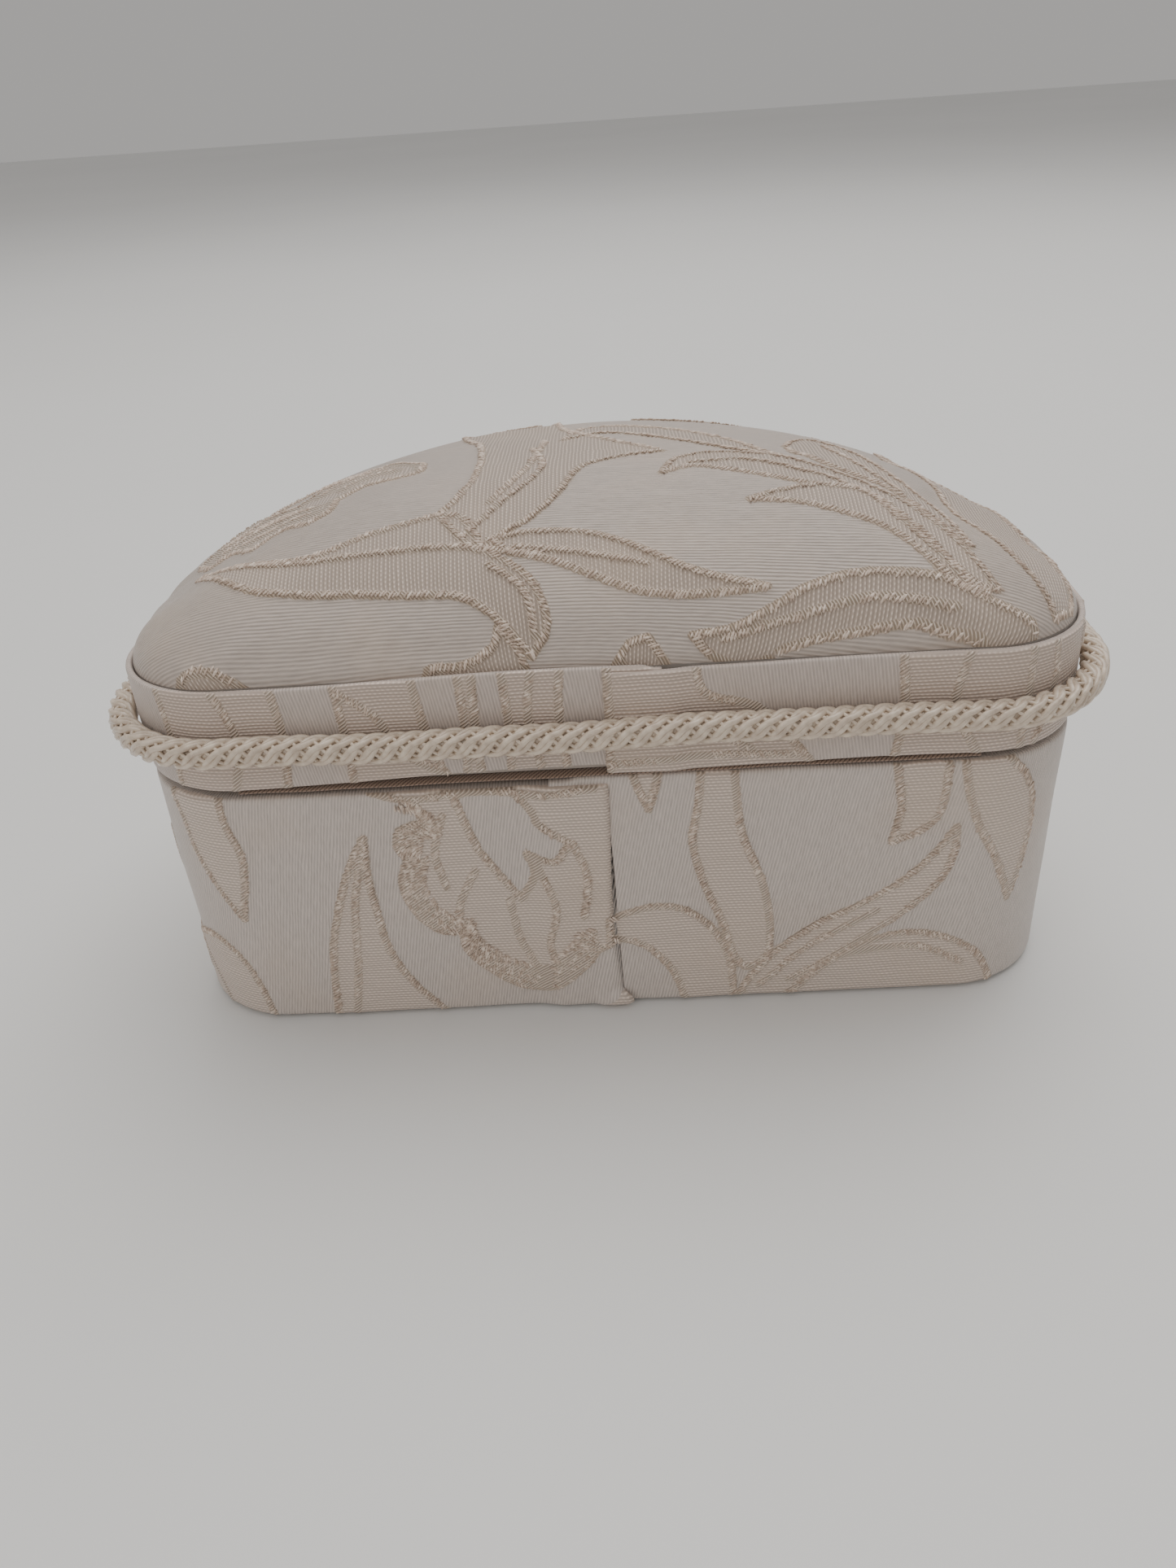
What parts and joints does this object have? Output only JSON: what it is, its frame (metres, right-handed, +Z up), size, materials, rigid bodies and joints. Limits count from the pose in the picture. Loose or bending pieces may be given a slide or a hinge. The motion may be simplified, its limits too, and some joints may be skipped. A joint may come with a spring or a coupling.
{
  "type": "travel jewelry case",
  "caption": "Half-moon cloth-covered jewelry case with a padded domed lid on a cloth hinge, twisted cord trim, divided lined base, ring rolls and a lid mirror.",
  "frame": {"origin": "on the surface the case stands on, under the middle of its plan", "axes": "+Z up; +X along the straight back, to the right as seen from the round front; the round front faces -Y and the hinged back +Y"},
  "size_m": [0.1604, 0.1074, 0.0842],
  "materials": {
    "brocade": "figured satin weave, soft sheen",
    "trim_cord": "glossy twisted cord",
    "hinge_twill": "fine twill",
    "lining": "plain satin",
    "velvet": "short pile",
    "ribbon": "ribbed satin ribbon",
    "felt": "thin felt",
    "padding": "soft wadding",
    "board": "grey bookbinder's board",
    "magnet": "plain",
    "keeper_steel": "plain",
    "mirror": "silvered"
  },
  "bodies": {
    "base": {"base_bottom_felt": "felt", "base_filler": "board", "base_board": "board", "base_wall_board": "board", "base_magnet": "magnet", "base_wall_cloth": "brocade", "hinge_cloth": "hinge_twill", "base_lining_card": "board", "base_lining_cloth": "lining", "base_floor_pad": "velvet", "long_divider": "velvet", "cross_divider_left": "velvet", "cross_divider_right": "velvet", "ring_bed": "velvet", "ring_roll_1": "velvet", "ring_roll_2": "velvet", "ring_roll_3": "velvet", "ring_roll_4": "velvet", "stay_ribbon_left": "ribbon", "stay_ribbon_right": "ribbon"},
    "lid": {"lid_rim_board": "board", "lid_keeper": "keeper_steel", "lid_top_board": "board", "lid_padding": "padding", "lid_top_cloth": "brocade", "lid_band_cloth": "brocade", "lid_trim_cord": "trim_cord", "lid_lining_card": "board", "lid_lining_cloth": "lining", "lid_ceiling_pad": "lining", "lid_mirror": "mirror", "lid_mirror_frame": "lining"}
  },
  "joints": [
    {"name": "lid_hinge", "type": "hinge", "parent": "base", "child": "lid", "pos_m": [0, 0.0493, 0.04655], "axis": [-1, 0, 0], "range_deg": [0, 105], "deforming": ["hinge_cloth", "stay_ribbon_left", "stay_ribbon_right"]}
  ]
}
